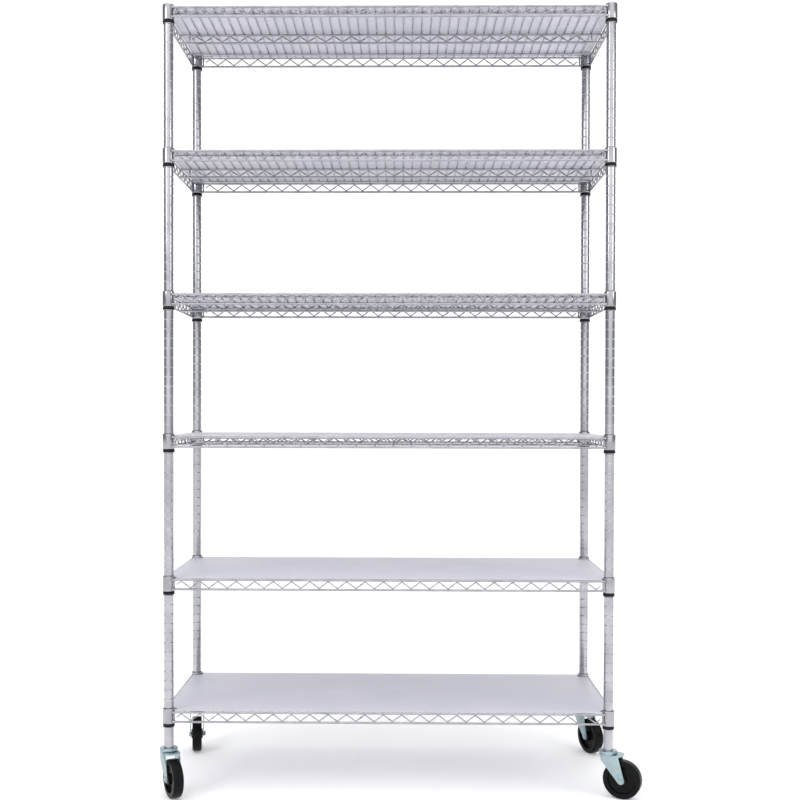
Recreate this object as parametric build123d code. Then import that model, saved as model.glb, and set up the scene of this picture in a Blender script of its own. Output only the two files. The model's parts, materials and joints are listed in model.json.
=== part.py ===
from build123d import *
import os
from math import cos, pi, radians, sin, sqrt, tan

# Wire shelf cart: six welded wire shelves, each with a loose plastic liner, held by split
# tapered sleeves on four grooved posts that stand on swivel casters.
# Millimetres, +Z up, floor at z = 0, origin on the floor midway between the posts.
# +X runs along the shelves and -Y is the front.

# Overall
post_span_x = 1178.0      # post centre to post centre, along the shelves
post_span_y = 425.0       # post centre to post centre, front to back
shelf_steps = [14, 15, 15, 15, 15]    # groove spaces from each shelf up to the next

# Posts
post_dia = 25.4
post_wall = 1.4
groove_pitch = 25.4
groove_width = 2.6
groove_depth = 0.8
plain_foot = 80.75        # smooth length below the first groove
plain_head = 24.0         # smooth length above the last groove
seam_groove = 36          # the lower section ends half a pitch above this groove
insert_length = 25.0
stud_dia = 12.0
stud_length = 44.0
cap_rise = 3.2
cap_edge = 1.0            # height of the cap's straight edge under its rounding
cap_plug = 12.0

# Fits
fit_clearance = 0.05      # radial, between pieces that slide or press together
rib_clearance = 0.1
weld_sink = 0.5           # how far welded wires melt into each other
overcut = 1.0             # how far a tapered cut runs past the faces it opens
cut_reach = 400.0         # length of a cut that goes right through a small piece

# Sleeves and collars
sleeve_top_wall = 1.2
sleeve_low_wall = 1.8
sleeve_split = 0.8
sleeve_foot = 9.0         # length that shows below the collar
sleeve_setback = 1.0      # from the collar's top down to the sleeve's top
foot_ring = 7.0
foot_ring_proud = 0.9     # how far the foot ring stands out past the sleeve's taper
rib_drop = 16.25          # from the top wire's centre down to the sleeve's rib
collar_wall = 1.4
collar_above = 9.0        # from the top wire's centre up to the collar's top
collar_below = 31.5

# Shelf wires
frame_wire = 6.0
truss_height = 25.4       # top wire centre to bottom wire centre
zigzag_wire = 3.5
zigzag_period = 49.5
tab_width = 4.0
tab_thickness = 2.5
tab_offset = 17.5         # post centre to the upright tab at a truss's end
zigzag_offset = 24.0      # post centre to the free end of the zigzag wire
bore_margin = 0.3         # truss wires' ends stay this clear of the collar's bore
deck_wire = 3.2
deck_pitch = 25.4
deck_margin = 3.0         # clear of the collars
runner_wire = 5.0
runner_inset = 48.0       # from the front or back wire in to the single long wire

# Liners
liner_thickness = 1.2
liner_lift = 0.1
liner_gap = 0.5
notch_gap = 3.0
notch_round = 6.0

# Casters
wheel_dia = 101.6
tread_width = 28.0
tread_depth = 14.0
tread_round = 5.0
hub_dia = 28.0
hub_width = 34.0
web_width = 10.0
bush_dia = 12.0
axle_dia = 8.0
hex_flats = 12.0
head_height = 3.0
nut_height = 4.0
axle_tail = 0.5
side_gap = 1.5            # hub face to yoke leg
leg_thickness = 2.5
crown_thickness = 3.5
crown_gap = 10.9          # top of the wheel to the underside of the crown
crown_back = 22.0
crown_front = 42.0
leg_front = 31.0          # front edge of the legs where they leave the crown
crown_band = 6.0          # depth of the straight edge under the crown
crown_round = 14.0
leg_tip = 9.5             # radius of the leg round the axle
trail = 39.0
cup_dia = 48.0
cup_wall = 2.1
cup_plate = 2.7
race_height = 8.0         # crown's top to the post's bottom
race_gap = 0.6
ball_dia = 6.0
ball_circle = 32.0
ball_count = 14
ball_clearance = 0.1
track_clearance = 0.3
stem_length = 38.0
rivet_dia = 20.0
rivet_height = 2.8
rivet_gap = 0.3
# Which way each caster trails, in degrees from -Y towards +X
caster_turns = {"front_left": 29.0, "front_right": 65.0, "back_left": 10.0, "back_right": 25.0}

# Worked out from the above
post_r = post_dia / 2
tube_r = post_r - post_wall
crown_under = wheel_dia + crown_gap
crown_top = crown_under + crown_thickness
post_bottom = crown_top + race_height
first_groove = post_bottom + plain_foot
groove_total = sum(shelf_steps) + 1
seam_z = first_groove + (seam_groove + 0.5) * groove_pitch
post_top = first_groove + (groove_total - 1) * groove_pitch + plain_head
shelf_grooves = [sum(shelf_steps[:n]) for n in range(len(shelf_steps) + 1)]
shelf_z = [first_groove + rib_drop + i * groove_pitch for i in shelf_grooves]
# The sleeves are filed by the end of the cart they are at and by the level of their shelf
sleeve_levels = {"low": shelf_z[:2], "middle": shelf_z[2:4], "top": shelf_z[4:]}
sleeve_r = post_r + fit_clearance
collar_bore_low = sleeve_r + sleeve_low_wall + fit_clearance
collar_bore_top = sleeve_r + sleeve_top_wall + fit_clearance
collar_r = collar_bore_low + collar_wall
collar_height = collar_above + collar_below
half_x = post_span_x / 2
half_y = post_span_y / 2
rail_out = collar_r - frame_wire / 2
flat_ratio = sqrt(pi / 8 / tan(pi / 8))    # half a wire's width across flats over its true radius
wire_reach = sqrt(collar_bore_low ** 2 - (rail_out - frame_wire / 2) ** 2) + bore_margin
rail_x = half_x + rail_out
rail_y = half_y + rail_out
deck_z = frame_wire / 2 - deck_wire / 2 - weld_sink
deck_top = deck_z + deck_wire / 2
leg_inside = hub_width / 2 + side_gap
yoke_half = leg_inside + leg_thickness
axle_z = wheel_dia / 2
bush_bore = axle_dia / 2 + fit_clearance

corners = {
    "front_left": (-half_x, -half_y),
    "front_right": (half_x, -half_y),
    "back_left": (-half_x, half_y),
    "back_right": (half_x, half_y),
}


def save(name, solids):
    piece = solids[0] if len(solids) == 1 else Compound(children=solids)
    piece.label = name
    export_step(piece, f"parts/{name}.step", write_pcurves=False)


def rod(start, end, dia):
    run = Vector(*end) - Vector(*start)
    return Solid.make_cylinder(dia / 2, run.length, Plane(origin=start, z_dir=run))


def tube(outer_r, inner_r, low, high):
    return spin([(inner_r, low), (outer_r, low), (outer_r, high), (inner_r, high)])


def spin(outline):
    # outline: (radius, height) corners of half the section, turned about Z
    face = make_face(Polyline(*[(r, 0, z) for r, z in outline], close=True))
    return revolve(face, Axis.Z).solid()


def wire(start, end, dia):
    # A welded wire, drawn with eight flats and the same section area as the round one
    run = Vector(*end) - Vector(*start)
    section = RegularPolygon(flat_ratio * dia / 2, 8, major_radius=False, rotation=22.5)
    return extrude(Plane(origin=start, z_dir=run) * section, run.length).solid()


def zigzag(length, top_z, bottom_z):
    # A bent wire between two wires, along X and centred, starting and ending at mid height.
    # Its section is a square with the area of the round wire.
    width = zigzag_wire * sqrt(pi) / 2
    reach = (top_z - bottom_z) / 2 - flat_ratio * frame_wire / 2 + weld_sink - width / 2
    middle = (top_z + bottom_z) / 2
    periods = max(1, round(length / zigzag_period))
    step = length / periods / 2
    half_leg = width / 2 * sqrt(1 + (2 * reach / step) ** 2)
    line = [(-length / 2, middle)]
    for i in range(2 * periods):
        line.append((-length / 2 + step * (i + 0.5), middle + (reach if i % 2 == 0 else -reach)))
    line.append((length / 2, middle))
    upper = [(x, z + half_leg) for x, z in line]
    lower = [(x, z - half_leg) for x, z in reversed(line)]
    return extrude(Plane.XZ * make_face(Polyline(*upper, *lower, close=True)), width / 2, both=True).solid()


def truss(wire_length, post_span, top_z, bottom_z):
    # Top wire, bottom wire, zigzag and an upright tab at each end, along X
    half = wire_length / 2
    pieces = [wire((-half, 0, z), (half, 0, z), frame_wire) for z in (top_z, bottom_z)]
    pieces.append(zigzag(post_span - 2 * zigzag_offset, top_z, bottom_z))
    tab = Box(tab_width, tab_thickness, top_z - bottom_z).solid()
    for side in (-1, 1):
        pieces.append(Pos(side * (post_span / 2 - tab_offset), 0, (top_z + bottom_z) / 2) * tab)
    return pieces


def make_shelf():
    # One welded shelf, with the centre of its top perimeter wires at z = 0
    low_z = -truss_height
    pieces = []
    for side in (-1, 1):
        along = truss(post_span_x - 2 * wire_reach, post_span_x, 0, low_z)
        pieces += [Pos(0, side * rail_y, 0) * p for p in along]
        across = truss(post_span_y - 2 * wire_reach, post_span_y, 0, low_z)
        pieces += [Pos(side * rail_x, 0, 0) * Rot(0, 0, 90) * p for p in across]
    middle_z = deck_z - deck_wire / 2 - frame_wire / 2 + weld_sink
    pieces += truss(2 * rail_x, post_span_x, middle_z, low_z)
    runner_z = deck_z - deck_wire / 2 - runner_wire / 2 + weld_sink
    for side in (-1, 1):
        y = side * (rail_y - runner_inset)
        pieces.append(wire((-rail_x, y, runner_z), (rail_x, y, runner_z), runner_wire))
    deck_span = post_span_x - 2 * (collar_r + deck_margin)
    spaces = round(deck_span / deck_pitch)
    for i in range(spaces + 1):
        x = deck_span * (i / spaces - 0.5)
        pieces.append(wire((x, -rail_y, deck_z), (x, rail_y, deck_z), deck_wire))
    bores = []
    taper = (collar_bore_low - collar_bore_top) / collar_height
    for x, y in corners.values():
        pieces.append(rod((x, y, -collar_below), (x, y, collar_above), 2 * collar_r))
        bore = Solid.make_cone(
            collar_bore_low + taper * overcut, collar_bore_top - taper * overcut,
            collar_height + 2 * overcut, Plane(origin=(x, y, -collar_below - overcut)),
        )
        bores.append(bore)
    return pieces[0].fuse(*pieces[1:]).cut(*bores).solid()


def make_liner():
    reach_x = rail_x - frame_wire / 2 - liner_gap
    reach_y = rail_y - frame_wire / 2 - liner_gap
    notch_x = half_x - collar_r - notch_gap
    notch_y = half_y - collar_r - notch_gap
    outline = Rectangle(2 * reach_x, 2 * reach_y)
    for sx in (-1, 1):
        for sy in (-1, 1):
            notch = Rectangle(2 * (reach_x - notch_x), 2 * (reach_y - notch_y))
            outline -= Pos(sx * reach_x, sy * reach_y) * notch
    inner = [v for v in outline.vertices() if abs(v.X) < reach_x - notch_gap and abs(v.Y) < reach_y - notch_gap]
    outline = fillet(inner, notch_round)
    return extrude(Pos(0, 0, deck_top + liner_lift) * outline, liner_thickness).solid()


def make_sleeve():
    # Two halves round a post, with a rib inside that sits in a post groove; top wire at z = 0
    taper = (sleeve_low_wall - sleeve_top_wall) / collar_height
    top = collar_above - sleeve_setback
    bottom = -collar_below - sleeve_foot
    low_r = sleeve_r + sleeve_low_wall
    ring_top = bottom + foot_ring
    ring_r = low_r + foot_ring_proud
    rib_r = post_r - groove_depth + rib_clearance
    half_rib = groove_width / 2 - rib_clearance
    outline = [
        (sleeve_r, bottom), (ring_r, bottom), (ring_r, ring_top), (low_r, ring_top),
        (low_r, -collar_below), (sleeve_r + sleeve_top_wall + taper * sleeve_setback, top), (sleeve_r, top),
        (sleeve_r, -rib_drop + half_rib), (rib_r, -rib_drop + half_rib - groove_depth),
        (rib_r, -rib_drop - half_rib + groove_depth), (sleeve_r, -rib_drop - half_rib),
    ]
    ring = spin(outline)
    gap = Box(cut_reach, sleeve_split, cut_reach)
    return (ring - gap).solids()


def make_post(low, high, grooves):
    outline = [(tube_r, low), (post_r, low)]
    for i in grooves:
        z = first_groove + i * groove_pitch
        outline.append((post_r, z - groove_width / 2))
        outline.append((post_r - groove_depth, z - groove_width / 2 + groove_depth))
        outline.append((post_r - groove_depth, z + groove_width / 2 - groove_depth))
        outline.append((post_r, z + groove_width / 2))
    outline += [(post_r, high), (tube_r, high)]
    return spin(outline)


def make_cap():
    # A plug with a round-edged head that sits on the tube's end
    head = Pos(0, 0, cap_rise / 2) * Cylinder(post_r, cap_rise)
    head = fillet(head.edges().sort_by(Axis.Z)[-1], cap_rise - cap_edge).solid()
    plug = rod((0, 0, -cap_plug), (0, 0, cap_rise / 2), 2 * (tube_r - fit_clearance))
    return head.fuse(plug).solid()


def hexagon(height):
    return extrude(RegularPolygon(hex_flats / 2, 6, major_radius=False), height).solid()


def make_stem():
    shank_low = crown_under - rivet_gap
    shank = rod((0, 0, shank_low), (0, 0, post_bottom + stem_length), stud_dia)
    head = rod((0, 0, shank_low - rivet_height), (0, 0, shank_low), rivet_dia)
    return shank.fuse(head).solid()


def make_cup():
    outer = cup_dia / 2
    bore = stud_dia / 2 + fit_clearance
    plate_low = post_bottom - cup_plate
    skirt_low = crown_top + race_gap
    return spin([
        (bore, post_bottom), (bore, plate_low), (outer - cup_wall, plate_low),
        (outer - cup_wall, skirt_low), (outer, skirt_low), (outer, post_bottom),
    ])


def ball_centre_z():
    return post_bottom - cup_plate - ball_clearance - ball_dia / 2


def make_balls():
    balls = []
    for i in range(ball_count):
        turn = radians(360 * i / ball_count)
        place = Pos(ball_circle / 2 * cos(turn), ball_circle / 2 * sin(turn), ball_centre_z())
        balls.append((place * Sphere(ball_dia / 2)).solid())
    return balls


def make_yoke():
    # Pressed crown with two legs that taper down and forward to a round tip at the axle
    band_length = crown_back + leg_front
    band = Pos((leg_front - crown_back) / 2, crown_top - crown_band / 2) * Rectangle(band_length, crown_band)
    tip = Pos(trail, axle_z) * Circle(leg_tip)
    side = make_hull([*band.edges(), *tip.edges()])
    block = extrude(Plane.XZ * side, yoke_half, both=True)
    crown_length = crown_back + crown_front
    plan = Pos((crown_front - crown_back) / 2, 0) * RectangleRounded(crown_length, 2 * yoke_half, crown_round)
    crown = Pos(0, 0, crown_under) * extrude(plan, crown_thickness)
    past_legs = trail + leg_tip + 2 * crown_round
    legs_plan = Pos((past_legs - crown_back) / 2, 0)
    legs_plan *= RectangleRounded(past_legs + crown_back, 2 * yoke_half, crown_round)
    block = (block & extrude(legs_plan, crown_top)) + crown
    channel = Pos(0, 0, crown_under / 2) * Box(cut_reach, 2 * leg_inside, crown_under)
    track = Pos(0, 0, ball_centre_z()) * Torus(ball_circle / 2, ball_dia / 2 + track_clearance)
    pin_hole = Pos(0, 0, crown_top) * Cylinder(stud_dia / 2 + fit_clearance, cut_reach)
    axle_hole = Pos(trail, 0, axle_z) * Rot(90, 0, 0) * Cylinder(bush_bore, cut_reach)
    return (block - channel - track - pin_hole - axle_hole).solid()


def make_wheel():
    bore = bush_dia / 2 + fit_clearance
    rim = wheel_dia / 2 - tread_depth
    half_tread = tread_width / 2
    right = [
        (bore, hub_width / 2), (hub_dia / 2, hub_width / 2), (hub_dia / 2, web_width / 2),
        (rim, web_width / 2), (rim, half_tread), (wheel_dia / 2, half_tread),
    ]
    left = [(r, -w) for r, w in reversed(right)]
    section = make_face(Polyline(*[(r, 0, w) for r, w in right + left], close=True))
    rounded = [v for v in section.vertices() if v.X > wheel_dia / 2 - tread_round]
    wheel = revolve(fillet(rounded, tread_round), Axis.Z).solid()
    return Pos(trail, 0, axle_z) * Rot(90, 0, 0) * wheel


def make_axle_set():
    at_axle = Pos(trail, 0, axle_z)
    shank_end = yoke_half + nut_height + axle_tail
    head = Pos(0, -yoke_half, 0) * Rot(90, 0, 0) * hexagon(head_height)
    shank = rod((0, -yoke_half, 0), (0, shank_end, 0), axle_dia)
    bolt = shank.fuse(head).solid()
    nut = Pos(0, yoke_half + nut_height, 0) * Rot(90, 0, 0) * hexagon(nut_height)
    nut = nut - rod((0, 0, 0), (0, 2 * shank_end, 0), 2 * bush_bore)
    bush = tube(bush_dia / 2, bush_bore, -leg_inside, leg_inside)
    bush = Rot(90, 0, 0) * bush
    return {"axle_bolt": at_axle * bolt, "axle_nut": at_axle * nut.solid(), "axle_bush": at_axle * bush}


os.makedirs("parts", exist_ok=True)

shelf = make_shelf()
liner = make_liner()
sleeve = make_sleeve()
for n, z in enumerate(shelf_z, start=1):
    save(f"shelf_{n}", [Pos(0, 0, z) * shelf])
    save(f"liner_{n}", [Pos(0, 0, z) * liner])

for level, level_z in sleeve_levels.items():
    for end in ("left", "right"):
        spots = [spot for corner, spot in corners.items() if corner.endswith(end)]
        halves = [Pos(x, y, z) * half for z in level_z for x, y in spots for half in sleeve]
        save(f"sleeves_{end}_{level}", halves)

lower_post = make_post(post_bottom, seam_z, range(seam_groove + 1))
upper_post = make_post(seam_z, post_top, range(seam_groove + 1, groove_total))
cap = make_cap()
insert = tube(tube_r - fit_clearance, stud_dia / 2 + fit_clearance, 0, insert_length)
stud = rod((0, 0, -stud_length / 2), (0, 0, stud_length / 2), stud_dia)
for corner, (x, y) in corners.items():
    save(f"lower_post_{corner}", [Pos(x, y, 0) * lower_post])
    save(f"upper_post_{corner}", [Pos(x, y, 0) * upper_post])
save("post_caps", [Pos(x, y, post_top) * cap for x, y in corners.values()])
save("post_studs", [Pos(x, y, seam_z) * stud for x, y in corners.values()])
insert_lows = (post_bottom, seam_z - insert_length, seam_z)
save("post_inserts", [Pos(x, y, z) * insert for x, y in corners.values() for z in insert_lows])

caster = {"stem": make_stem(), "race_cup": make_cup(), "yoke": make_yoke(), "wheel": make_wheel()}
caster.update(make_axle_set())
balls = make_balls()
placed_balls = []
for corner, (x, y) in corners.items():
    place = Pos(x, y, 0) * Rot(0, 0, caster_turns[corner] - 90)
    for name, piece in caster.items():
        save(f"{name}_{corner}", [place * piece])
    placed_balls += [place * ball for ball in balls]
save("swivel_balls", placed_balls)
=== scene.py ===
import json
import math

import bmesh
import bpy
from mathutils import Matrix, Vector


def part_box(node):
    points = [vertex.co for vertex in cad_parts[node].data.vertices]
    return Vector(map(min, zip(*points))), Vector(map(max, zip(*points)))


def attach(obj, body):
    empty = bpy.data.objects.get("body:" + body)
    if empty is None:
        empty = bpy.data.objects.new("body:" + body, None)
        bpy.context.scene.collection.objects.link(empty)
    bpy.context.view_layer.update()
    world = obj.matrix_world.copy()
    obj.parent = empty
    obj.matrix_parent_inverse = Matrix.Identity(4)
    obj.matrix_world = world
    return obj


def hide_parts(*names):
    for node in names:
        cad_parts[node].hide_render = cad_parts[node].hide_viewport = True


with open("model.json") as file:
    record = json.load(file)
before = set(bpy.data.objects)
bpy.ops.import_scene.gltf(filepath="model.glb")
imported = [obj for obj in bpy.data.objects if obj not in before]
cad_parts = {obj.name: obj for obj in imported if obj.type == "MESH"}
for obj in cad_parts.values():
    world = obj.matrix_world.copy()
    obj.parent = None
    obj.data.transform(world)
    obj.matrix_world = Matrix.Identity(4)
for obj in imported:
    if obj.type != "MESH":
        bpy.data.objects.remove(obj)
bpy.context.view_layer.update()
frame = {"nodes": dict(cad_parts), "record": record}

cornerNames = ("front_left", "front_right", "back_left", "back_right")
print("frame loaded:", len(frame["nodes"]), "nodes")


# colours, nodes and trees

def mm(value):
    return value / 1000


def linearColour(hexText):
    parts = [int(hexText[i:i + 2], 16) / 255 for i in (1, 3, 5)]
    return [c / 12.92 if c <= 0.04045 else ((c + 0.055) / 1.055) ** 2.4 for c in parts] + [1.0]


def addNode(tree, kind, inputs=None, **settings):
    node = tree.nodes.new(kind)
    for name, value in settings.items():
        setattr(node, name, value)
    for key, value in (inputs or {}).items():
        if isinstance(value, bpy.types.NodeSocket):
            tree.links.new(value, node.inputs[key])
        else:
            node.inputs[key].default_value = value
    return node


def startMaterial(name):
    material = bpy.data.materials.new(name)
    material.use_nodes = True
    tree = material.node_tree
    shader = tree.nodes["Principled BSDF"]
    place = addNode(tree, "ShaderNodeTexCoord").outputs["Object"]
    return material, tree, shader, place


def spreadColour(tree, factor, stops):
    ramp = addNode(tree, "ShaderNodeValToRGB", {"Fac": factor})
    first, last = ramp.color_ramp.elements
    first.position, first.color = stops[0][0], linearColour(stops[0][1])
    last.position, last.color = stops[-1][0], linearColour(stops[-1][1])
    for position, hexText in stops[1:-1]:
        ramp.color_ramp.elements.new(position).color = linearColour(hexText)
    return ramp.outputs["Color"]


def spreadValue(tree, factor, low, high):
    node = addNode(tree, "ShaderNodeMapRange", {"Value": factor, "To Min": low, "To Max": high})
    return node.outputs["Result"]


def noiseAt(tree, place, sizeMm, detail=3.0, stretch=(1, 1, 1)):
    # sizeMm is how wide one patch of the pattern is on the real surface
    mapped = addNode(tree, "ShaderNodeMapping", {"Vector": place, "Scale": stretch}).outputs["Vector"]
    noise = addNode(tree, "ShaderNodeTexNoise", {"Vector": mapped, "Scale": 1000 / sizeMm, "Detail": detail})
    return noise.outputs["Fac"]


def addBump(tree, shader, height, depthMm, strength=1.0):
    bump = addNode(tree, "ShaderNodeBump", {"Height": height, "Distance": mm(depthMm), "Strength": strength})
    tree.links.new(bump.outputs["Normal"], shader.inputs["Normal"])


# materials

chromeLook = {
    "pale": "#B0B0B4", "deep": "#9A9A9F", "patchMm": 38, "grainMm": 1.2, "grainDepthMm": 0.02,
    "roughLow": 0.10, "roughHigh": 0.20,
}


def brightChromeWire():
    # drawn steel wire, nickel and chrome plated: bright, with faint lengthwise draw marks and cloudy plating
    material, tree, shader, place = startMaterial("brightChromeOnDrawnWire")
    cloud = noiseAt(tree, place, chromeLook["patchMm"])
    grain = noiseAt(tree, place, chromeLook["grainMm"], detail=2.0)    # coarser than real draw marks, to show
    shader.inputs["Metallic"].default_value = 1.0
    colour = spreadColour(tree, cloud, [(0.3, chromeLook["deep"]), (0.62, chromeLook["pale"])])
    tree.links.new(colour, shader.inputs["Base Color"])
    rough = spreadValue(tree, grain, chromeLook["roughLow"], chromeLook["roughHigh"])
    tree.links.new(rough, shader.inputs["Roughness"])
    addBump(tree, shader, grain, chromeLook["grainDepthMm"], 0.3)
    return material


tubeLook = {
    "pale": "#BBBBBF", "deep": "#A6A6AB", "cloudMm": 55, "drawMarkMm": 0.9, "alongPost": 0.03,
    "streakDepthMm": 0.03, "roughLow": 0.10, "roughHigh": 0.22,
}


def polishedChromeTube():
    # welded steel tube, polished lengthwise and chrome plated: soft streaks that run up the post
    material, tree, shader, place = startMaterial("polishedChromeOnSteelTube")
    streak = noiseAt(tree, place, tubeLook["drawMarkMm"], detail=2.0, stretch=(1, 1, tubeLook["alongPost"]))
    cloud = noiseAt(tree, place, tubeLook["cloudMm"])
    shader.inputs["Metallic"].default_value = 1.0
    colour = spreadColour(tree, cloud, [(0.32, tubeLook["deep"]), (0.66, tubeLook["pale"])])
    tree.links.new(colour, shader.inputs["Base Color"])
    rough = spreadValue(tree, streak, tubeLook["roughLow"], tubeLook["roughHigh"])
    tree.links.new(rough, shader.inputs["Roughness"])
    addBump(tree, shader, streak, tubeLook["streakDepthMm"], 0.4)
    return material


zincLook = {
    "blue": "#94A9B2", "white": "#A7B9BE", "straw": "#A6B4AE", "grainMm": 1.5, "grainDepthMm": 0.04,
    "patchMm": 18, "roughLow": 0.24, "roughHigh": 0.44,
}


def blueZincPlate():
    # pressed steel, zinc plated and blue passivated: cold blue-white with faint straw patches
    material, tree, shader, place = startMaterial("blueZincOnPressedSteel")
    patch = noiseAt(tree, place, zincLook["patchMm"])
    grain = noiseAt(tree, place, zincLook["grainMm"])
    shader.inputs["Metallic"].default_value = 1.0
    stops = [(0.32, zincLook["blue"]), (0.52, zincLook["white"]), (0.7, zincLook["straw"])]
    tree.links.new(spreadColour(tree, patch, stops), shader.inputs["Base Color"])
    rough = spreadValue(tree, grain, zincLook["roughLow"], zincLook["roughHigh"])
    tree.links.new(rough, shader.inputs["Roughness"])
    addBump(tree, shader, grain, zincLook["grainDepthMm"], 0.5)
    return material


steelLook = {
    "dark": "#85878A", "pale": "#A7A9AC", "patchMm": 9, "grainMm": 1.0, "grainDepthMm": 0.03,
    "roughLow": 0.25, "roughHigh": 0.42,
}


def turnedSteel():
    # machined bar and bearing steel, lightly oiled: grey with a fine cutting grain
    material, tree, shader, place = startMaterial("turnedOiledSteel")
    patch = noiseAt(tree, place, steelLook["patchMm"])
    grain = noiseAt(tree, place, steelLook["grainMm"])
    shader.inputs["Metallic"].default_value = 1.0
    stops = [(0.3, steelLook["dark"]), (0.7, steelLook["pale"])]
    tree.links.new(spreadColour(tree, patch, stops), shader.inputs["Base Color"])
    rough = spreadValue(tree, grain, steelLook["roughLow"], steelLook["roughHigh"])
    tree.links.new(rough, shader.inputs["Roughness"])
    addBump(tree, shader, grain, steelLook["grainDepthMm"], 0.4)
    return material


nylonLook = {
    "black": "#0F1012", "grey": "#1D1E20", "patchMm": 12, "sparkMm": 0.8, "sparkDepthMm": 0.06,
    "roughLow": 0.38, "roughHigh": 0.58, "ior": 1.53, "specular": 0.15,
}


def mouldedBlackNylon():
    # injection moulded sleeve: matt black with a fine spark-eroded texture
    material, tree, shader, place = startMaterial("mouldedBlackNylon")
    patch = noiseAt(tree, place, nylonLook["patchMm"])
    spark = noiseAt(tree, place, nylonLook["sparkMm"])
    stops = [(0.3, nylonLook["black"]), (0.7, nylonLook["grey"])]
    tree.links.new(spreadColour(tree, patch, stops), shader.inputs["Base Color"])
    rough = spreadValue(tree, spark, nylonLook["roughLow"], nylonLook["roughHigh"])
    tree.links.new(rough, shader.inputs["Roughness"])
    shader.inputs["IOR"].default_value = nylonLook["ior"]
    shader.inputs["Specular IOR Level"].default_value = nylonLook["specular"]
    addBump(tree, shader, spark, nylonLook["sparkDepthMm"], 0.5)
    return material


wheelLook = {
    "black": "#090A0B", "worn": "#141617", "grainMm": 1.1, "grainDepthMm": 0.05, "dustMm": 20,
    "roughLow": 0.22, "roughHigh": 0.46, "ior": 1.52, "specular": 0.12,
}


def mouldedBlackWheel():
    # hard moulded rubber on a plastic centre: smooth, slightly glossy black with a little floor dust
    material, tree, shader, place = startMaterial("mouldedHardRubber")
    grain = noiseAt(tree, place, wheelLook["grainMm"])
    dust = noiseAt(tree, place, wheelLook["dustMm"], detail=5.0)
    stops = [(0.45, wheelLook["black"]), (0.75, wheelLook["worn"])]
    tree.links.new(spreadColour(tree, dust, stops), shader.inputs["Base Color"])
    rough = spreadValue(tree, dust, wheelLook["roughLow"], wheelLook["roughHigh"])
    tree.links.new(rough, shader.inputs["Roughness"])
    shader.inputs["IOR"].default_value = wheelLook["ior"]
    shader.inputs["Specular IOR Level"].default_value = wheelLook["specular"]
    addBump(tree, shader, grain, wheelLook["grainDepthMm"], 0.4)
    return material


linerLook = {
    "cool": "#E2E2EC", "warm": "#E8E6EF", "hazeMm": 160, "frostMm": 1.4, "frostDepthMm": 0.04,
    "roughLow": 0.42, "roughHigh": 0.58, "ior": 1.49, "through": 0.25,
}


def frostedLinerSheet():
    # extruded polypropylene sheet, frosted on both sides: milky, faintly lavender, lets some light through
    material, tree, shader, place = startMaterial("frostedPolypropyleneSheet")
    haze = noiseAt(tree, place, linerLook["hazeMm"], detail=2.0)
    frost = noiseAt(tree, place, linerLook["frostMm"])
    stops = [(0.35, linerLook["cool"]), (0.65, linerLook["warm"])]
    tree.links.new(spreadColour(tree, haze, stops), shader.inputs["Base Color"])
    rough = spreadValue(tree, frost, linerLook["roughLow"], linerLook["roughHigh"])
    tree.links.new(rough, shader.inputs["Roughness"])
    shader.inputs["IOR"].default_value = linerLook["ior"]
    shader.inputs["Transmission Weight"].default_value = linerLook["through"]
    addBump(tree, shader, frost, linerLook["frostDepthMm"], 0.4)
    return material


wireChrome = brightChromeWire()
tubeChrome = polishedChromeTube()
zinc = blueZincPlate()
steel = turnedSteel()
nylon = mouldedBlackNylon()
wheelBlack = mouldedBlackWheel()
linerSheet = frostedLinerSheet()
print("materials made")


# geometry node helpers

def startTree(name, sockets):
    tree = bpy.data.node_groups.new(name, "GeometryNodeTree")
    for label, kind in sockets:
        tree.interface.new_socket(name=label, in_out="INPUT", socket_type=kind)
    tree.interface.new_socket(name="Geometry", in_out="OUTPUT", socket_type="NodeSocketGeometry")
    return tree, addNode(tree, "NodeGroupInput").outputs


def finishTree(tree, shapes):
    # smooth, make instances real, set the material and send out
    joined = addNode(tree, "GeometryNodeJoinGeometry")
    for shape in reversed(shapes):
        tree.links.new(shape, joined.inputs[0])
    real = addNode(tree, "GeometryNodeRealizeInstances", {0: joined.outputs[0]})
    smooth = addNode(tree, "GeometryNodeSetShadeSmooth", {0: real.outputs[0]})
    finish = addNode(tree, "GeometryNodeSetMaterial", {0: smooth.outputs[0]})
    group = tree.nodes["Group Input"].outputs
    tree.links.new(group["Material"], finish.inputs["Material"])
    out = addNode(tree, "NodeGroupOutput")
    tree.links.new(finish.outputs[0], out.inputs["Geometry"])


def growMesh(tree, values):
    # runs a tree once and keeps its plain mesh
    holder = bpy.data.objects.new("grow", bpy.data.meshes.new("grow"))
    bpy.context.scene.collection.objects.link(holder)
    modifier = holder.modifiers.new("grow", "NODES")
    modifier.node_group = tree
    for item in tree.interface.items_tree:
        if item.item_type == "SOCKET" and item.in_out == "INPUT" and item.name in values:
            modifier[item.identifier] = values[item.name]
    evaluated = holder.evaluated_get(bpy.context.evaluated_depsgraph_get())
    mesh = bpy.data.meshes.new_from_object(evaluated)
    holder.modifiers.remove(modifier)
    bpy.data.objects.remove(holder)
    return mesh


def doMath(tree, operation, *values):
    return addNode(tree, "ShaderNodeMath", dict(enumerate(values)), operation=operation).outputs[0]


def makeVector(tree, x=0.0, y=0.0, z=0.0):
    return addNode(tree, "ShaderNodeCombineXYZ", {"X": x, "Y": y, "Z": z}).outputs[0]


def roundBar(tree, start, end, radius, sides=10):
    line = addNode(tree, "GeometryNodeCurvePrimitiveLine", {"Start": start, "End": end}).outputs["Curve"]
    ring = addNode(tree, "GeometryNodeCurvePrimitiveCircle", {"Resolution": sides, "Radius": radius})
    bar = addNode(tree, "GeometryNodeCurveToMesh", {
        "Curve": line, "Profile Curve": ring.outputs["Curve"], "Fill Caps": True})
    return bar.outputs["Mesh"]


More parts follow.
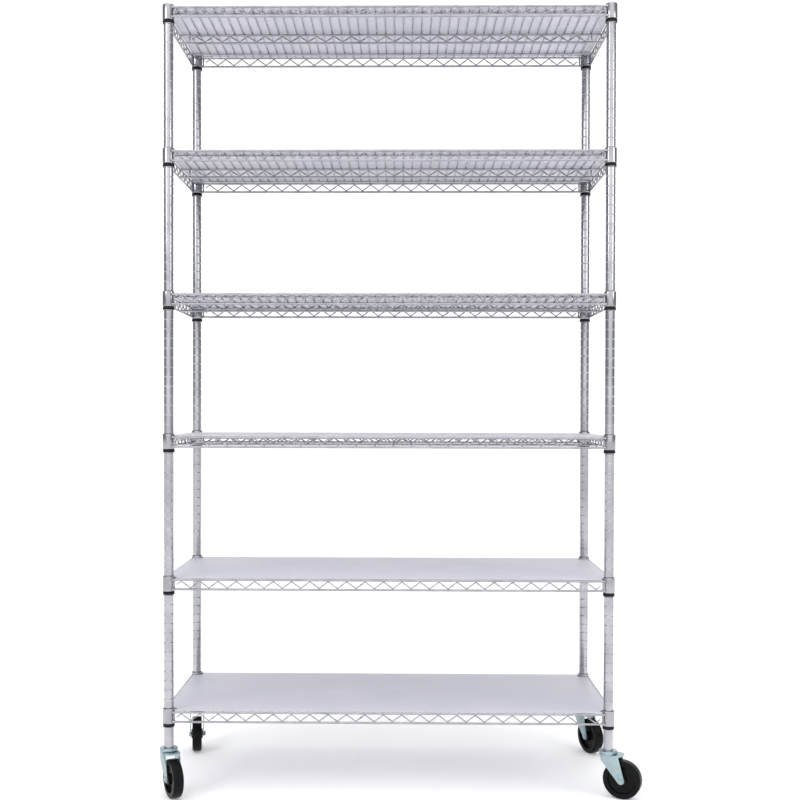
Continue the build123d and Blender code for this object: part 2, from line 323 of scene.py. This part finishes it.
def shiftedCopy(tree, shape, offset):
    return addNode(tree, "GeometryNodeTransform", {"Geometry": shape, "Translation": offset}).outputs[0]


# a truss: two long wires, the zigzag between them with a weld bead at each bend, and two upright tabs

def makeTrussTree():
    number = "NodeSocketFloat"
    tree, group = startTree("wireTruss", [
        ("Wire Length", number), ("Zigzag Length", number), ("Top", number), ("Bottom", number),
        ("Wire Radius", number), ("Zigzag Radius", number), ("Bend Radius", number),
        ("Periods", "NodeSocketInt"),
        ("Tab Span", number), ("Tab Width", number), ("Tab Thickness", number), ("Bead Radius", number),
        ("Material", "NodeSocketMaterial"),
    ])
    # both are shares of the zigzag wire's radius, taken at a bend before it is rounded
    standOff = 0.35    # from the bend out to the long wire's skin
    beadStep = 0.55    # from the bend out to the middle of its weld bead
    beadShape = (1.5, 1.0, 0.75)
    half = doMath(tree, "MULTIPLY", group["Wire Length"], 0.5)
    minusHalf = doMath(tree, "MULTIPLY", group["Wire Length"], -0.5)
    shapes = []
    for level in ("Top", "Bottom"):
        start = makeVector(tree, minusHalf, 0.0, group[level])
        end = makeVector(tree, half, 0.0, group[level])
        shapes.append(roundBar(tree, start, end, group["Wire Radius"], sides=12))
    total = doMath(tree, "ADD", group["Top"], group["Bottom"])
    middle = doMath(tree, "MULTIPLY", total, 0.5)
    gap = doMath(tree, "SUBTRACT", group["Top"], group["Bottom"])
    reach = doMath(tree, "MULTIPLY", gap, 0.5)
    reach = doMath(tree, "SUBTRACT", reach, group["Wire Radius"])
    reach = doMath(tree, "SUBTRACT", reach, doMath(tree, "MULTIPLY", group["Zigzag Radius"], standOff))
    zigHalf = doMath(tree, "MULTIPLY", group["Zigzag Length"], 0.5)
    zigMinus = doMath(tree, "MULTIPLY", group["Zigzag Length"], -0.5)
    line = addNode(tree, "GeometryNodeCurvePrimitiveLine", {
        "Start": makeVector(tree, zigMinus, 0.0, middle), "End": makeVector(tree, zigHalf, 0.0, middle)})
    # four steps to a period, so even points stay at mid height and odd ones are bends
    count = doMath(tree, "ADD", doMath(tree, "MULTIPLY", group["Periods"], 4.0), 1.0)
    steps = addNode(tree, "GeometryNodeResampleCurve", {"Curve": line.outputs["Curve"], "Count": count})
    index = addNode(tree, "GeometryNodeInputIndex").outputs[0]
    wave = doMath(tree, "SINE", doMath(tree, "MULTIPLY", index, math.pi / 2))
    lift = makeVector(tree, 0.0, 0.0, doMath(tree, "MULTIPLY", wave, reach))
    bent = addNode(tree, "GeometryNodeSetPosition", {"Geometry": steps.outputs[0], "Offset": lift}).outputs[0]
    rounded = addNode(tree, "GeometryNodeFilletCurve", {
        "Curve": bent, "Count": 4, "Radius": group["Bend Radius"], "Limit Radius": True}, mode="POLY")
    ring = addNode(tree, "GeometryNodeCurvePrimitiveCircle", {
        "Resolution": 8, "Radius": group["Zigzag Radius"]})
    zigzag = addNode(tree, "GeometryNodeCurveToMesh", {
        "Curve": rounded.outputs[0], "Profile Curve": ring.outputs["Curve"], "Fill Caps": True})
    shapes.append(zigzag.outputs["Mesh"])
    odd = doMath(tree, "MODULO", index, 2.0)
    beadReach = doMath(tree, "MULTIPLY", group["Zigzag Radius"], beadStep)
    beadOut = makeVector(tree, 0.0, 0.0, doMath(tree, "MULTIPLY", wave, beadReach))
    beadSpots = addNode(tree, "GeometryNodeSetPosition", {"Geometry": bent, "Offset": beadOut}).outputs[0]
    bead = addNode(tree, "GeometryNodeMeshIcoSphere", {"Radius": group["Bead Radius"], "Subdivisions": 2})
    beads = addNode(tree, "GeometryNodeInstanceOnPoints", {
        "Points": beadSpots, "Selection": odd, "Instance": bead.outputs["Mesh"], "Scale": beadShape})
    shapes.append(beads.outputs[0])
    tab = addNode(tree, "GeometryNodeMeshCube", {
        "Size": makeVector(tree, group["Tab Width"], group["Tab Thickness"], gap)})
    for share in (-0.5, 0.5):
        side = doMath(tree, "MULTIPLY", group["Tab Span"], share)
        shapes.append(shiftedCopy(tree, tab.outputs["Mesh"], makeVector(tree, side, 0.0, middle)))
    finishTree(tree, shapes)
    return tree


# the deck: wires from front to back, two long runners under them, and a weld bead where they cross

def makeDeckTree():
    number = "NodeSocketFloat"
    tree, group = startTree("wireDeck", [
        ("Wires", "NodeSocketInt"), ("Width", number), ("Depth", number), ("Deck Height", number),
        ("Deck Radius", number), ("Runner Length", number), ("Runner Offset", number),
        ("Runner Height", number), ("Runner Radius", number), ("Bead Radius", number),
        ("Material", "NodeSocketMaterial"),
    ])
    halfDepth = doMath(tree, "MULTIPLY", group["Depth"], 0.5)
    minusDepth = doMath(tree, "MULTIPLY", group["Depth"], -0.5)
    beadShape = (1.35, 1.35, 0.6)
    barStart = makeVector(tree, 0.0, minusDepth, 0.0)
    barEnd = makeVector(tree, 0.0, halfDepth, 0.0)
    bar = roundBar(tree, barStart, barEnd, group["Deck Radius"], sides=8)
    minusWidth = doMath(tree, "MULTIPLY", group["Width"], -0.5)
    halfWidth = doMath(tree, "MULTIPLY", group["Width"], 0.5)
    first = makeVector(tree, minusWidth, 0.0, group["Deck Height"])
    last = makeVector(tree, halfWidth, 0.0, group["Deck Height"])
    row = addNode(tree, "GeometryNodeMeshLine", {
        "Count": group["Wires"], "Start Location": first, "Offset": last}, mode="END_POINTS")
    bars = addNode(tree, "GeometryNodeInstanceOnPoints", {"Points": row.outputs[0], "Instance": bar})
    shapes = [bars.outputs[0]]
    bead = addNode(tree, "GeometryNodeMeshIcoSphere", {"Radius": group["Bead Radius"], "Subdivisions": 1})
    beadDrop = doMath(tree, "MULTIPLY", group["Deck Radius"], -1.0)
    runnerHalf = doMath(tree, "MULTIPLY", group["Runner Length"], 0.5)
    runnerMinus = doMath(tree, "MULTIPLY", group["Runner Length"], -0.5)
    minusOffset = doMath(tree, "MULTIPLY", group["Runner Offset"], -1.0)
    crossings = (minusOffset, 0.0, group["Runner Offset"], minusDepth, halfDepth)
    for y in crossings:
        spots = shiftedCopy(tree, row.outputs[0], makeVector(tree, 0.0, y, beadDrop))
        beads = addNode(tree, "GeometryNodeInstanceOnPoints", {
            "Points": spots, "Instance": bead.outputs["Mesh"], "Scale": beadShape})
        shapes.append(beads.outputs[0])
    for y in (minusOffset, group["Runner Offset"]):
        start = makeVector(tree, runnerMinus, y, group["Runner Height"])
        end = makeVector(tree, runnerHalf, y, group["Runner Height"])
        shapes.append(roundBar(tree, start, end, group["Runner Radius"], sides=12))
    finishTree(tree, shapes)
    return tree


# a post: a tube whose skin dips at every groove, eight rings to a groove

def makePostTree():
    number = "NodeSocketFloat"
    tree, group = startTree("groovedPost", [
        ("Low", number), ("High", number), ("First Groove", number), ("Grooves", "NodeSocketInt"),
        ("Pitch", number), ("Groove Width", number), ("Groove Depth", number), ("Radius", number),
        ("Material", "NodeSocketMaterial"),
    ])
    # each ring's place across the groove, in groove widths, and how much of the depth it has
    spread = (-0.72, -0.5, -0.34, -0.16, 0.16, 0.34, 0.5, 0.72)
    dip = (0.0, 0.0, 0.65, 1.0, 1.0, 0.65, 0.0, 0.0)
    index = addNode(tree, "GeometryNodeInputIndex").outputs[0]
    ringCount = doMath(tree, "MULTIPLY", group["Grooves"], float(len(dip)))
    pointCount = doMath(tree, "ADD", ringCount, 2.0)
    inner = doMath(tree, "SUBTRACT", index, 1.0)
    groove = doMath(tree, "FLOOR", doMath(tree, "DIVIDE", inner, float(len(dip))))
    ring = doMath(tree, "SUBTRACT", inner, doMath(tree, "MULTIPLY", groove, float(len(dip))))
    tables = []
    for values in (spread, dip):
        switch = addNode(tree, "GeometryNodeIndexSwitch", data_type="FLOAT")
        while len(switch.index_switch_items) < len(values):
            switch.index_switch_items.new()
        tree.links.new(ring, switch.inputs[0])
        for i, value in enumerate(values):
            switch.inputs[i + 1].default_value = value
        tables.append(switch.outputs[0])
    height = doMath(tree, "MULTIPLY_ADD", groove, group["Pitch"], group["First Groove"])
    height = doMath(tree, "MULTIPLY_ADD", tables[0], group["Groove Width"], height)
    isFirst = doMath(tree, "LESS_THAN", index, 0.5)
    isLast = doMath(tree, "GREATER_THAN", index, doMath(tree, "SUBTRACT", pointCount, 1.5))
    isEnd = doMath(tree, "ADD", isFirst, isLast)
    lowEnd = doMath(tree, "MULTIPLY", isFirst, group["Low"])
    highEnd = doMath(tree, "MULTIPLY", isLast, group["High"])
    endHeight = doMath(tree, "ADD", lowEnd, highEnd)
    height = doMath(tree, "MULTIPLY_ADD", height, doMath(tree, "SUBTRACT", 1.0, isEnd), endHeight)
    depth = doMath(tree, "MULTIPLY", tables[1], group["Groove Depth"])
    depth = doMath(tree, "DIVIDE", depth, group["Radius"])
    depth = doMath(tree, "MULTIPLY", depth, doMath(tree, "SUBTRACT", 1.0, isEnd))
    line = addNode(tree, "GeometryNodeCurvePrimitiveLine")
    steps = addNode(tree, "GeometryNodeResampleCurve", {"Curve": line.outputs["Curve"], "Count": pointCount})
    placed = addNode(tree, "GeometryNodeSetPosition", {
        "Geometry": steps.outputs[0], "Position": makeVector(tree, 0.0, 0.0, height)})
    outline = addNode(tree, "GeometryNodeCurvePrimitiveCircle", {"Resolution": 32, "Radius": group["Radius"]})
    skin = addNode(tree, "GeometryNodeCurveToMesh", {
        "Curve": placed.outputs[0], "Profile Curve": outline.outputs["Curve"],
        "Scale": doMath(tree, "SUBTRACT", 1.0, depth), "Fill Caps": True})
    finishTree(tree, [skin.outputs["Mesh"]])
    return tree


# mesh helpers

def keepPiece(name, meshes, body, nodes, material):
    # joins placed meshes into one piece at the origin and hands it to the frame
    joined = bmesh.new()
    for mesh, place in meshes:
        copy = mesh.copy()
        copy.transform(place)
        joined.from_mesh(copy)
        bpy.data.meshes.remove(copy)
    bmesh.ops.recalc_face_normals(joined, faces=joined.faces)
    data = bpy.data.meshes.new(name)
    joined.to_mesh(data)
    joined.free()
    data.materials.clear()
    data.materials.append(material)
    piece = bpy.data.objects.new(name, data)
    bpy.context.scene.collection.objects.link(piece)
    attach(piece, body)
    if nodes:
        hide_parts(*nodes)
    return piece


def turnedMesh(name, profile, segments=48):
    # profile: (radius, height) points of a closed outline in mm, turned about Z
    work = bmesh.new()
    rings = []
    for i in range(segments):
        turn = 2 * math.pi * i / segments
        spots = [(mm(r) * math.cos(turn), mm(r) * math.sin(turn), mm(z)) for r, z in profile]
        rings.append([work.verts.new(spot) for spot in spots])
    for i in range(segments):
        near, far = rings[i], rings[(i + 1) % segments]
        for j in range(len(profile)):
            k = (j + 1) % len(profile)
            work.faces.new((near[j], far[j], far[k], near[k]))
    bmesh.ops.remove_doubles(work, verts=work.verts, dist=1e-7)
    bmesh.ops.recalc_face_normals(work, faces=work.faces)
    mesh = bpy.data.meshes.new(name)
    work.to_mesh(mesh)
    work.free()
    mesh.shade_smooth()
    mesh.set_sharp_from_angle(angle=math.radians(35))
    return mesh


def roundedCorner(centre, radius, fromDegrees, toDegrees, steps=5):
    spots = []
    for i in range(steps + 1):
        turn = math.radians(fromDegrees + (toDegrees - fromDegrees) * i / steps)
        spots.append((centre[0] + radius * math.cos(turn), centre[1] + radius * math.sin(turn)))
    return spots


def softenedMesh(node, bevelMm):
    # a merged copy of a CAD node with its sharp edges eased
    source = frame["nodes"][node]
    work = bmesh.new()
    work.from_mesh(source.data)
    bmesh.ops.remove_doubles(work, verts=work.verts, dist=2e-6)
    bmesh.ops.dissolve_limit(work, angle_limit=math.radians(1.0), verts=work.verts, edges=work.edges)
    data = bpy.data.meshes.new(node + "Soft")
    work.to_mesh(data)
    work.free()
    holder = bpy.data.objects.new(node + "Soft", data)
    bpy.context.scene.collection.objects.link(holder)
    bevel = holder.modifiers.new("edges", "BEVEL")
    bevel.width = mm(bevelMm)
    bevel.segments = 2
    bevel.limit_method = "ANGLE"
    bevel.angle_limit = math.radians(50)
    evaluated = holder.evaluated_get(bpy.context.evaluated_depsgraph_get())
    mesh = bpy.data.meshes.new_from_object(evaluated)
    bpy.data.objects.remove(holder)
    mesh.shade_smooth()
    mesh.set_sharp_from_angle(angle=math.radians(40))
    return mesh


# the shelves

shelfSize = {
    "collarRadius": 16.0, "collarBelow": 31.5, "collarAbove": 9.0,
    "collarBore": 14.6, "collarBoreTop": 14.0, "frameWire": 6.0, "trussHeight": 25.4,
    "zigzagWire": 3.5, "zigzagPeriod": 49.5, "zigzagBend": 4.0, "zigzagOffset": 24.0,
    "wireReach": 10.9, "tabOffset": 17.5, "tabWidth": 4.0, "tabThickness": 2.5,
    "deckWire": 3.2, "deckPitch": 25.4, "deckMargin": 3.0, "runnerWire": 5.0, "runnerInset": 48.0,
    "weldSink": 0.5, "beadRadius": 1.5, "lip": 1.2,
}
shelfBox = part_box("shelf_1")
halfX = shelfBox[1][0] - mm(shelfSize["collarRadius"])
halfY = shelfBox[1][1] - mm(shelfSize["collarRadius"])
cornerSpots = {}
for name in cornerNames:
    cornerSpots[name] = (halfX if "right" in name else -halfX, halfY if "back" in name else -halfY)


def buildShelves():
    size = {name: mm(value) for name, value in shelfSize.items()}
    trussTree = makeTrussTree()
    deckTree = makeDeckTree()
    railOut = size["collarRadius"] - size["frameWire"] / 2
    railX, railY = halfX + railOut, halfY + railOut
    deckHeight = size["frameWire"] / 2 - size["deckWire"] / 2 - size["weldSink"]
    midTop = deckHeight - size["deckWire"] / 2 - size["frameWire"] / 2 + size["weldSink"]
    trusses = {}
    for kind, wireLength, postHalf, top in (
        ("long", 2 * (halfX - size["wireReach"]), halfX, 0.0),
        ("end", 2 * (halfY - size["wireReach"]), halfY, 0.0),
        ("middle", 2 * railX, halfX, midTop),
    ):
        zigzagLength = 2 * (postHalf - size["zigzagOffset"])
        trusses[kind] = growMesh(trussTree, {
            "Wire Length": wireLength, "Zigzag Length": zigzagLength,
            "Top": top, "Bottom": -size["trussHeight"],
            "Wire Radius": size["frameWire"] / 2, "Zigzag Radius": size["zigzagWire"] / 2,
            "Bend Radius": size["zigzagBend"], "Periods": max(1, round(zigzagLength / size["zigzagPeriod"])),
            "Tab Span": 2 * (postHalf - size["tabOffset"]), "Tab Width": size["tabWidth"],
            "Tab Thickness": size["tabThickness"], "Bead Radius": size["beadRadius"],
            "Material": wireChrome})
    deckSpan = 2 * (halfX - size["collarRadius"] - size["deckMargin"])
    deck = growMesh(deckTree, {
        "Wires": round(deckSpan / size["deckPitch"]) + 1, "Width": deckSpan, "Depth": 2 * railY,
        "Deck Height": deckHeight, "Deck Radius": size["deckWire"] / 2, "Runner Length": 2 * railX,
        "Runner Offset": railY - size["runnerInset"], "Runner Radius": size["runnerWire"] / 2,
        "Runner Height": deckHeight - size["deckWire"] / 2 - size["runnerWire"] / 2 + size["weldSink"],
        "Bead Radius": size["beadRadius"], "Material": wireChrome})
    collar = shelfSize
    outer, lip = collar["collarRadius"], collar["lip"]
    top, low = collar["collarAbove"], -collar["collarBelow"]
    ring = turnedMesh("collar", [(collar["collarBore"], low)]
        + roundedCorner((outer - lip, low + lip), lip, -90, 0)
        + roundedCorner((outer - lip, top - lip), lip, 0, 90)
        + [(collar["collarBoreTop"], top)])
    quarter = Matrix.Rotation(math.pi / 2, 4, "Z")
    for n in range(1, 7):
        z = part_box(f"shelf_{n}")[0][2] + size["collarBelow"]
        at = Matrix.Translation((0, 0, z))
        parts = [(deck, at), (trusses["middle"], at)]
        for side in (-1, 1):
            parts.append((trusses["long"], at @ Matrix.Translation((0, side * railY, 0))))
            aside = Matrix.Translation((side * railX, 0, 0))
            parts.append((trusses["end"], at @ aside @ quarter))
        for x, y in cornerSpots.values():
            parts.append((ring, at @ Matrix.Translation((x, y, 0))))
        name = f"weldedShelf{n}"
        piece = keepPiece(name, parts, "frame", [f"shelf_{n}"], wireChrome)
    print("shelves built:", len(piece.data.polygons), "faces each")


# the posts

postSize = {
    "diameter": 25.4, "pitch": 25.4, "grooveWidth": 2.6, "grooveDepth": 0.8,
    "plainFoot": 80.75, "plainHead": 24.0,
}


def buildPosts():
    tree = makePostTree()
    pitch = mm(postSize["pitch"])
    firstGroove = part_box("lower_post_front_left")[0][2] + mm(postSize["plainFoot"])
    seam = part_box("lower_post_front_left")[1][2]
    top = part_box("upper_post_front_left")[1][2]
    lowerCount = int((seam - firstGroove) / pitch) + 1
    upperFirst = firstGroove + lowerCount * pitch
    upperCount = round((top - mm(postSize["plainHead"]) - upperFirst) / pitch) + 1
    sections = (("lower", firstGroove, lowerCount), ("upper", upperFirst, upperCount))
    for section, first, count in sections:
        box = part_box(f"{section}_post_front_left")
        mesh = growMesh(tree, {
            "Low": box[0][2], "High": box[1][2], "First Groove": first,
            "Grooves": count, "Pitch": pitch, "Groove Width": mm(postSize["grooveWidth"]),
            "Groove Depth": mm(postSize["grooveDepth"]),
            "Radius": mm(postSize["diameter"]) / 2, "Material": tubeChrome})
        for corner, (x, y) in cornerSpots.items():
            name, node = f"{section}Post_{corner}", f"{section}_post_{corner}"
            placed = [(mesh, Matrix.Translation((x, y, 0)))]
            keepPiece(name, placed, "frame", [node], tubeChrome)
    print("posts built:", lowerCount + upperCount, "grooves on each")


# the casters

casterSize = {
    "wheel": 101.6, "tread": 28.0, "hub": 34.0, "hubRadius": 14.0, "bore": 6.05, "boreEdge": 0.6,
    "hubEdge": 1.2, "hubFillet": 2.0, "web": 10.0, "rimRadius": 36.8, "rimFillet": 2.5, "rimEdge": 1.2,
    "shoulder": 5.0, "yokeBevel": 0.7, "boltBevel": 0.5,
    "cupRadius": 24.0, "cupRound": 1.8, "cupWall": 2.1, "cupPlate": 2.7, "cupEdge": 0.4,
}


def wheelMesh():
    size = casterSize
    outer, halfTread = size["wheel"] / 2, size["tread"] / 2
    halfWeb, halfHub = size["web"] / 2, size["hub"] / 2
    boreEdge, hubEdge, hubFillet = size["boreEdge"], size["hubEdge"], size["hubFillet"]
    rimFillet, rimEdge, shoulder = size["rimFillet"], size["rimEdge"], size["shoulder"]
    hub, rim = size["hubRadius"], size["rimRadius"]
    side = [(size["bore"], halfHub - boreEdge), (size["bore"] + boreEdge, halfHub)]
    side += roundedCorner((hub - hubEdge, halfHub - hubEdge), hubEdge, 90, 0)
    side += roundedCorner((hub + hubFillet, halfWeb + hubFillet), hubFillet, 180, 270)
    side += roundedCorner((rim - rimFillet, halfWeb + rimFillet), rimFillet, 270, 360)
    side += roundedCorner((rim + rimEdge, halfTread - rimEdge), rimEdge, 180, 90)
    side += roundedCorner((outer - shoulder, halfTread - shoulder), shoulder, 90, 0, steps=8)
    other = [(r, -z) for r, z in reversed(side)]
    return turnedMesh("wheel", side + other, segments=96)


def buildCasters():
    size = casterSize
    wheel = wheelMesh()
    still = Matrix.Identity(4)
    joints = {joint["name"]: joint for joint in frame["record"]["behaviour"]["joints"]}
    bevels = {"yoke": size["yokeBevel"], "axle_bolt": size["boltBevel"], "axle_nut": size["boltBevel"]}
    for corner, (x, y) in cornerSpots.items():
        joint = joints[f"wheel_spin_{corner}"]
        lay = Vector((0, 0, 1)).rotation_difference(Vector(joint["axis"])).to_matrix().to_4x4()
        placed = [(wheel, Matrix.Translation(joint["pos_m"]) @ lay)]
        name, node = f"wheelTurned_{corner}", f"wheel_{corner}"
        keepPiece(name, placed, f"rolling_{corner}", [node], wheelBlack)
        for kind, bevelMm in bevels.items():
            name, node = f"{kind}Soft_{corner}", f"{kind}_{corner}"
            placed = [(softenedMesh(node, bevelMm), still)]
            keepPiece(name, placed, f"swivel_{corner}", [node], zinc)
        low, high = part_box(f"race_cup_{corner}")
        r, bend, edge = size["cupRadius"], size["cupRound"], size["cupEdge"]
        inner, height = r - size["cupWall"], (high[2] - low[2]) * 1000
        profile = [(size["bore"], height)] + roundedCorner((r - bend, height - bend), bend, 90, 0)
        profile += [(r, edge), (r - edge, 0), (inner, 0)]
        profile += [(inner, height - size["cupPlate"]), (size["bore"], height - size["cupPlate"])]
        placed = [(turnedMesh("cup", profile, segments=64), Matrix.Translation((x, y, low[2])))]
        name, node = f"raceCup_{corner}", f"race_cup_{corner}"
        keepPiece(name, placed, "frame", [node], zinc)
    print("casters built")


# liners, and finishes for the CAD pieces that stay

linerSize = {"edgeBevel": 0.3}


def buildTrim():
    still = Matrix.Identity(4)
    for n in range(1, 7):
        node = f"liner_{n}"
        softened = [(softenedMesh(node, linerSize["edgeBevel"]), still)]
        keepPiece(f"linerSheet{n}", softened, "frame", [node], linerSheet)
    finishes = {
        "chromed_wire": wireChrome, "chromed_tube": tubeChrome, "cap_metal": tubeChrome,
        "zinc_plate": zinc, "plain_steel": steel, "sleeve_plastic": nylon,
        "liner_plastic": linerSheet, "wheel_rubber": wheelBlack,
    }
    slots = {entry["node"]: entry["material_slot"] for entry in frame["record"]["subparts"]}
    for name, node in frame["nodes"].items():
        for slot in node.material_slots:
            slot.material = finishes[slots[name]]
    print("liners built and CAD finishes set")


# floor, light and camera

stageLook = {
    "floor": "#FBFBFC", "floorPatch": "#FFFFFF", "floorPatchMm": 600, "floorRough": 0.9,
    "floorSpecular": 0.2, "floorGlow": 0.15, "reach": 60.0,
    "backdrop": "#FFFFFF", "side": "#C3C5C9", "far": "#8A8D94",
    "frontLevel": 1.25, "overheadLevel": 0.90, "strength": 1.15,
}
softboxes = {
    "leftSoftbox": {"spot": (-2.6, -2.4, 2.6), "size": 1.4, "power": 22},
    "rightSoftbox": {"spot": (2.8, -1.8, 2.2), "size": 1.2, "power": 14},
    "topSoftbox": {"spot": (0.0, -0.4, 4.2), "size": 2.2, "power": 25},
}


def buildStage():
    # a white room with grey walls at both sides, so that the chrome has something to show
    bpy.ops.mesh.primitive_plane_add(size=2 * stageLook["reach"])
    floor = bpy.context.object
    floor.name = "paleFloor"
    material, tree, shader, place = startMaterial("paleStudioFloor")
    stops = [(0.3, stageLook["floor"]), (0.7, stageLook["floorPatch"])]
    patch = noiseAt(tree, place, stageLook["floorPatchMm"])
    tree.links.new(spreadColour(tree, patch, stops), shader.inputs["Base Color"])
    shader.inputs["Roughness"].default_value = stageLook["floorRough"]
    shader.inputs["Specular IOR Level"].default_value = stageLook["floorSpecular"]
    shader.inputs["Emission Color"].default_value = linearColour(stageLook["floorPatch"])
    shader.inputs["Emission Strength"].default_value = stageLook["floorGlow"]    # as a light table glows
    floor.data.materials.append(material)
    world = bpy.data.worlds.new("studioWorld")
    world.use_nodes = True
    tree = world.node_tree
    direction = addNode(tree, "ShaderNodeTexCoord").outputs["Generated"]
    axes = addNode(tree, "ShaderNodeSeparateXYZ", {0: direction}).outputs
    sideways = doMath(tree, "ABSOLUTE", axes["X"])
    walls = [(0.45, stageLook["backdrop"]), (0.66, stageLook["side"]), (0.92, stageLook["far"])]
    colour = spreadColour(tree, sideways, walls)
    front = addNode(tree, "ShaderNodeMapRange", {
        "Value": axes["Y"], "From Min": -0.3, "From Max": 0.3,
        "To Min": stageLook["frontLevel"], "To Max": 1.0})
    above = addNode(tree, "ShaderNodeMapRange", {
        "Value": axes["Z"], "From Min": 0.4, "From Max": 0.9,
        "To Min": 1.0, "To Max": stageLook["overheadLevel"]})
    dim = doMath(tree, "MULTIPLY", front.outputs["Result"], above.outputs["Result"])
    dim = doMath(tree, "MULTIPLY", dim, stageLook["strength"])
    background = tree.nodes["Background"]
    tree.links.new(colour, background.inputs["Color"])
    tree.links.new(dim, background.inputs["Strength"])
    bpy.context.scene.world = world
    bpy.context.scene.view_settings.view_transform = "Standard"
    for name, box in softboxes.items():
        lamp = bpy.data.lights.new(name, "AREA")
        lamp.size = box["size"]
        lamp.energy = box["power"]
        holder = bpy.data.objects.new(name, lamp)
        holder.location = box["spot"]
        aim = Vector((0, 0, 1.0)) - Vector(box["spot"])
        holder.rotation_euler = aim.to_track_quat("-Z", "Y").to_euler()
        bpy.context.scene.collection.objects.link(holder)


cameraView = {
    "place": (37.9, -3281.3, 1038.0), "yaw": -0.807, "pitch": 0.756, "roll": 0.116,
    "lens": 51.69, "shiftRight": 0.0168, "shiftUp": 0.0284,
}


def buildCamera():
    yaw, pitch, roll = (math.radians(cameraView[name]) for name in ("yaw", "pitch", "roll"))
    ahead = Vector((math.sin(yaw) * math.cos(pitch), math.cos(yaw) * math.cos(pitch), -math.sin(pitch)))
    right = Vector((math.cos(yaw), -math.sin(yaw), 0))
    up = right.cross(ahead)
    tilted = math.cos(roll) * right + math.sin(roll) * up
    upright = math.cos(roll) * up - math.sin(roll) * right
    data = bpy.data.cameras.new("camera")
    data.lens = cameraView["lens"]
    data.sensor_width = 36.0
    data.shift_x = cameraView["shiftRight"]
    data.shift_y = cameraView["shiftUp"]
    camera = bpy.data.objects.new("camera", data)
    turn = Matrix((tilted, upright, -ahead)).transposed().to_4x4()
    camera.matrix_world = Matrix.Translation([mm(v) for v in cameraView["place"]]) @ turn
    bpy.context.scene.collection.objects.link(camera)
    bpy.context.scene.camera = camera


buildShelves()
buildPosts()
buildCasters()
buildTrim()
buildStage()
buildCamera()
print("stage and camera set")
